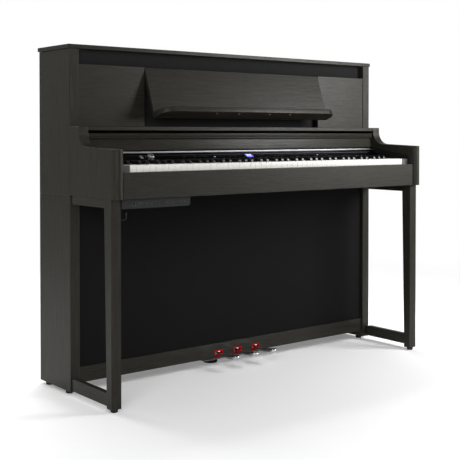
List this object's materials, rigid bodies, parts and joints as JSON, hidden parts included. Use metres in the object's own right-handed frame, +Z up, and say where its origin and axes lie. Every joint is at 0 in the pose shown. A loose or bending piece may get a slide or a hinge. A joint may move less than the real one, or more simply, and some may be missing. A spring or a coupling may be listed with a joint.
{
  "type": "digital piano on stand",
  "caption": "Upright console digital piano with full-size hinged keys, sliding key cover, tilting music rest, control strip, pedals and a two-leg stand with side boards.",
  "frame": {"origin": "centre of the overall box's footprint, at floor level", "axes": "+X along the keyboard towards the treble end, -Y towards the player, +Z up"},
  "size_m": [1.377, 0.48, 1.118],
  "materials": {
    "laminate": "satin wood-grain laminate",
    "dark_board": "matt charcoal board",
    "gloss_panel": "gloss",
    "satin_trim": "satin",
    "display": "gloss",
    "silver_button": "satin",
    "white_key": "smooth",
    "black_key": "matt",
    "steel": "plain",
    "clip_metal": "satin",
    "chrome": "polished",
    "rubber": "matt",
    "grey_plastic": "fine texture",
    "circuit_board": "lacquered"
  },
  "bodies": {
    "case": {"side_panel_upper_left": "laminate", "side_panel_upper_right": "laminate", "side_panel_lower_left": "laminate", "side_panel_lower_right": "laminate", "top_board": "laminate", "front_panel_left": "laminate", "front_panel_right": "laminate", "key_shelf": "laminate", "arm_left": "laminate", "arm_right": "laminate", "leg_frame_left": "laminate", "leg_frame_right": "laminate", "key_slip": "laminate", "pedal_rail": "laminate", "speaker_baffle": "dark_board", "knee_panel": "dark_board", "keybed": "dark_board", "key_block_left": "dark_board", "key_block_right": "dark_board", "back_panel": "dark_board", "control_panel": "gloss_panel", "panel_trim_strip": "satin_trim", "display_window": "display", "keys_low": "white_key", "keys_high": "white_key", "key_frame": "steel", "pedal_bracket": "steel", "headphone_hook": "steel", "foot_glide_left": "rubber", "foot_glide_right": "rubber", "jack_box": "grey_plastic", "power_inlet": "grey_plastic", "speaker_left": "grey_plastic", "speaker_right": "grey_plastic", "main_board": "circuit_board"},
    "c4 key": {"key_c4": "white_key"},
    "c4_sharp key": {"key_c4_sharp": "black_key"},
    "d4 key": {"key_d4": "white_key"},
    "d4_sharp key": {"key_d4_sharp": "black_key"},
    "e4 key": {"key_e4": "white_key"},
    "f4 key": {"key_f4": "white_key"},
    "f4_sharp key": {"key_f4_sharp": "black_key"},
    "g4 key": {"key_g4": "white_key"},
    "g4_sharp key": {"key_g4_sharp": "black_key"},
    "a4 key": {"key_a4": "white_key"},
    "a4_sharp key": {"key_a4_sharp": "black_key"},
    "b4 key": {"key_b4": "white_key"},
    "left pedal": {"pedal_left": "chrome"},
    "middle pedal": {"pedal_middle": "chrome"},
    "right pedal": {"pedal_right": "chrome"},
    "cover carriage": {"cover_shaft": "steel"},
    "key cover": {"cover_panel": "laminate", "cover_nose": "laminate"},
    "music rest": {"music_rest": "laminate", "music_rest_ledge": "laminate"},
    "left page holder": {"page_holder_left": "clip_metal"},
    "right page holder": {"page_holder_right": "clip_metal"},
    "power button": {"power_button": "silver_button"},
    "volume dial": {"volume_dial": "silver_button"},
    "pedal foot": {"pedal_adjuster": "rubber"}
  },
  "joints": [
    {"name": "c4_key_turn", "type": "hinge", "parent": "case", "child": "c4 key", "pos_m": [-0.05875, 0.051, 0.722], "axis": [1, 0, 0], "range_deg": [0, 2.2], "stiffness_Nm_per_rad": 1.2, "springref_deg": -11.46},
    {"name": "c4_sharp_key_turn", "type": "hinge", "parent": "case", "child": "c4_sharp key", "pos_m": [-0.0495, 0.051, 0.722], "axis": [1, 0, 0], "range_deg": [0, 2.2], "stiffness_Nm_per_rad": 1.2, "springref_deg": -11.46},
    {"name": "d4_key_turn", "type": "hinge", "parent": "case", "child": "d4 key", "pos_m": [-0.03525, 0.051, 0.722], "axis": [1, 0, 0], "range_deg": [0, 2.2], "stiffness_Nm_per_rad": 1.2, "springref_deg": -11.46},
    {"name": "d4_sharp_key_turn", "type": "hinge", "parent": "case", "child": "d4_sharp key", "pos_m": [-0.021, 0.051, 0.722], "axis": [1, 0, 0], "range_deg": [0, 2.2], "stiffness_Nm_per_rad": 1.2, "springref_deg": -11.46},
    {"name": "e4_key_turn", "type": "hinge", "parent": "case", "child": "e4 key", "pos_m": [-0.01175, 0.051, 0.722], "axis": [1, 0, 0], "range_deg": [0, 2.2], "stiffness_Nm_per_rad": 1.2, "springref_deg": -11.46},
    {"name": "f4_key_turn", "type": "hinge", "parent": "case", "child": "f4 key", "pos_m": [0.01175, 0.051, 0.722], "axis": [1, 0, 0], "range_deg": [0, 2.2], "stiffness_Nm_per_rad": 1.2, "springref_deg": -11.46},
    {"name": "f4_sharp_key_turn", "type": "hinge", "parent": "case", "child": "f4_sharp key", "pos_m": [0.02, 0.051, 0.722], "axis": [1, 0, 0], "range_deg": [0, 2.2], "stiffness_Nm_per_rad": 1.2, "springref_deg": -11.46},
    {"name": "g4_key_turn", "type": "hinge", "parent": "case", "child": "g4 key", "pos_m": [0.03525, 0.051, 0.722], "axis": [1, 0, 0], "range_deg": [0, 2.2], "stiffness_Nm_per_rad": 1.2, "springref_deg": -11.46},
    {"name": "g4_sharp_key_turn", "type": "hinge", "parent": "case", "child": "g4_sharp key", "pos_m": [0.047, 0.051, 0.722], "axis": [1, 0, 0], "range_deg": [0, 2.2], "stiffness_Nm_per_rad": 1.2, "springref_deg": -11.46},
    {"name": "a4_key_turn", "type": "hinge", "parent": "case", "child": "a4 key", "pos_m": [0.05875, 0.051, 0.722], "axis": [1, 0, 0], "range_deg": [0, 2.2], "stiffness_Nm_per_rad": 1.2, "springref_deg": -11.46},
    {"name": "a4_sharp_key_turn", "type": "hinge", "parent": "case", "child": "a4_sharp key", "pos_m": [0.074, 0.051, 0.722], "axis": [1, 0, 0], "range_deg": [0, 2.2], "stiffness_Nm_per_rad": 1.2, "springref_deg": -11.46},
    {"name": "b4_key_turn", "type": "hinge", "parent": "case", "child": "b4 key", "pos_m": [0.08225, 0.051, 0.722], "axis": [1, 0, 0], "range_deg": [0, 2.2], "stiffness_Nm_per_rad": 1.2, "springref_deg": -11.46},
    {"name": "left_pedal_turn", "type": "hinge", "parent": "case", "child": "left pedal", "pos_m": [-0.082, 0.111, 0.049], "axis": [1, 0, 0], "range_deg": [0, 4], "stiffness_Nm_per_rad": 8, "springref_deg": -5.73},
    {"name": "middle_pedal_turn", "type": "hinge", "parent": "case", "child": "middle pedal", "pos_m": [0.004, 0.111, 0.049], "axis": [1, 0, 0], "range_deg": [0, 4], "stiffness_Nm_per_rad": 8, "springref_deg": -5.73},
    {"name": "right_pedal_turn", "type": "hinge", "parent": "case", "child": "right pedal", "pos_m": [0.09, 0.111, 0.049], "axis": [1, 0, 0], "range_deg": [0, 4], "stiffness_Nm_per_rad": 8, "springref_deg": -5.73},
    {"name": "cover_slide", "type": "slide", "parent": "case", "child": "cover carriage", "axis": [0, -1, 0], "range_m": [0, 0.204]},
    {"name": "cover_tilt", "type": "hinge", "parent": "cover carriage", "child": "key cover", "pos_m": [0, 0.192, 0.83], "axis": [1, 0, 0], "range_deg": [0, 10.05]},
    {"name": "music_rest_fold", "type": "hinge", "parent": "case", "child": "music rest", "pos_m": [0, 0.037, 1.052], "axis": [1, 0, 0], "range_deg": [0, 19.5]},
    {"name": "left_page_holder_fold", "type": "hinge", "parent": "music rest", "child": "left page holder", "pos_m": [-0.119, -0.0611, 0.92475], "axis": [1, 0, 0], "range_deg": [0, 80]},
    {"name": "right_page_holder_fold", "type": "hinge", "parent": "music rest", "child": "right page holder", "pos_m": [0.119, -0.0611, 0.92475], "axis": [1, 0, 0], "range_deg": [0, 80]},
    {"name": "power_press", "type": "slide", "parent": "case", "child": "power button", "axis": [0, 0.464, -0.8858], "range_m": [0, 0.0015], "stiffness_N_per_m": 400, "springref_m": -0.001},
    {"name": "volume_turn", "type": "hinge", "parent": "case", "child": "volume dial", "pos_m": [-0.4255, -0.03975, 0.75725], "axis": [0, -0.464, 0.8858], "range_deg": [-150, 150]},
    {"name": "pedal_foot_screw", "type": "slide", "parent": "case", "child": "pedal foot", "axis": [0, 0, 1], "range_m": [0, 0.006]}
  ],
  "couplings": [
    {"joint": "cover_tilt", "follows": "cover_slide", "rad_per_m": 0.8555}
  ]
}
